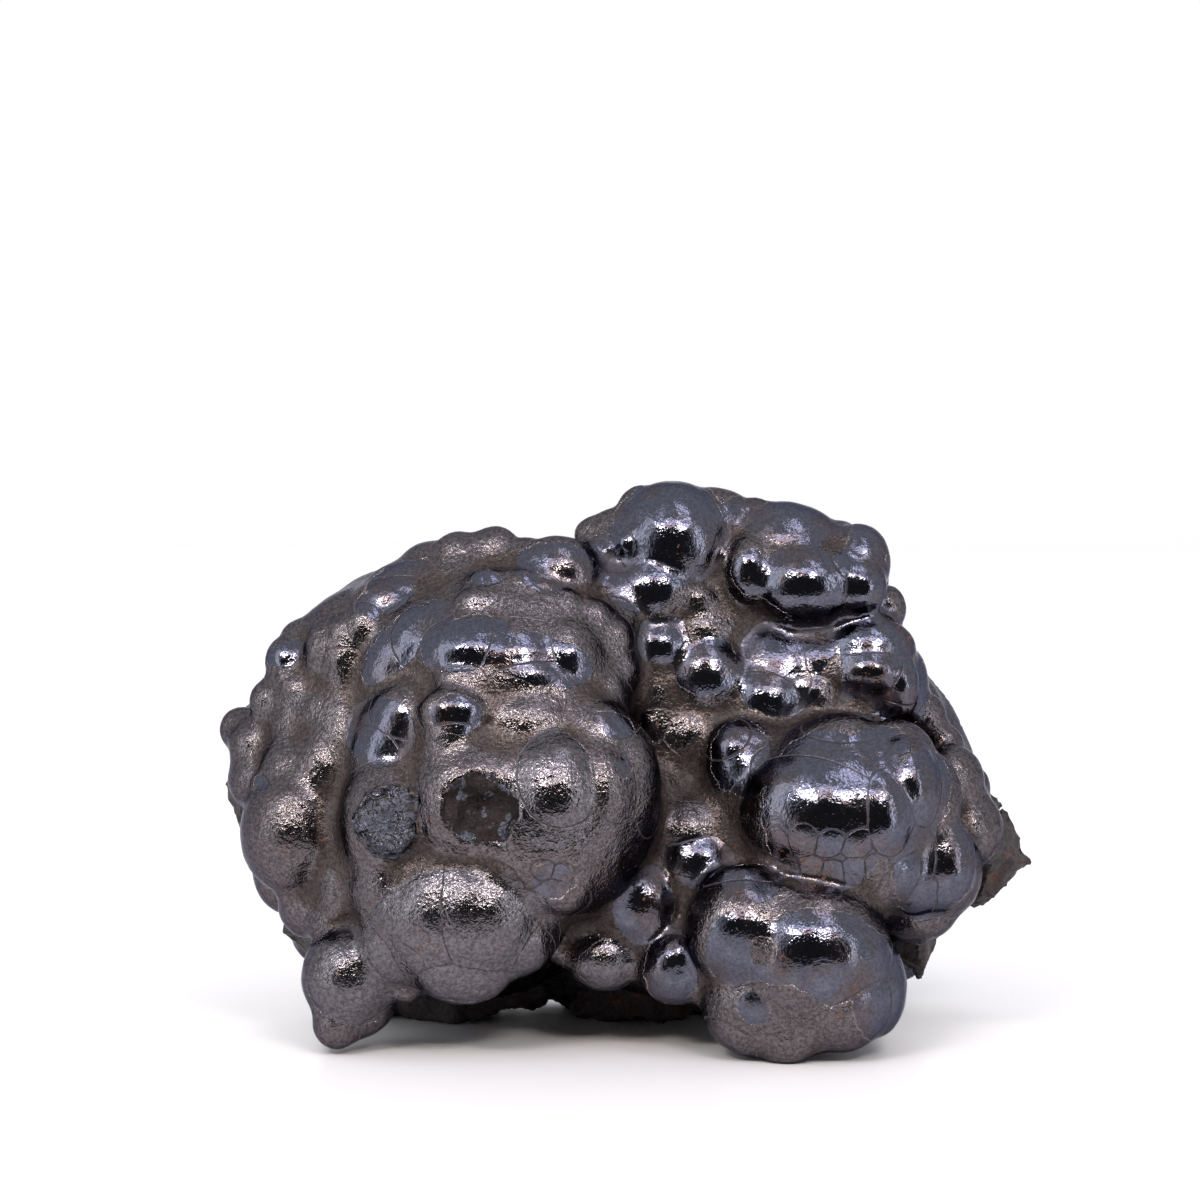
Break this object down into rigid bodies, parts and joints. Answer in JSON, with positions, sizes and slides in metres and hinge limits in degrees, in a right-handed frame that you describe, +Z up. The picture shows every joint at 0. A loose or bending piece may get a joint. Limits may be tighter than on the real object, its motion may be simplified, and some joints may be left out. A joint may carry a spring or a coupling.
{
  "type": "mineral specimen",
  "caption": "Botryoidal hematite hand specimen: dark metallic domes and small bumps crowded over a broken rock base, resting on its underside and low lobes",
  "frame": {"origin": "centre of the outline on the surface it rests on", "axes": "+Z up, -Y out of the lobed front, +X to the right seen from the front, along its longest side"},
  "size_m": [0.1022, 0.0558, 0.0684],
  "materials": {
    "hematite": "metallic steel grey under a thin brown satin film"
  },
  "bodies": {
    "root": {"hematite": "hematite"}
  },
  "joints": []
}
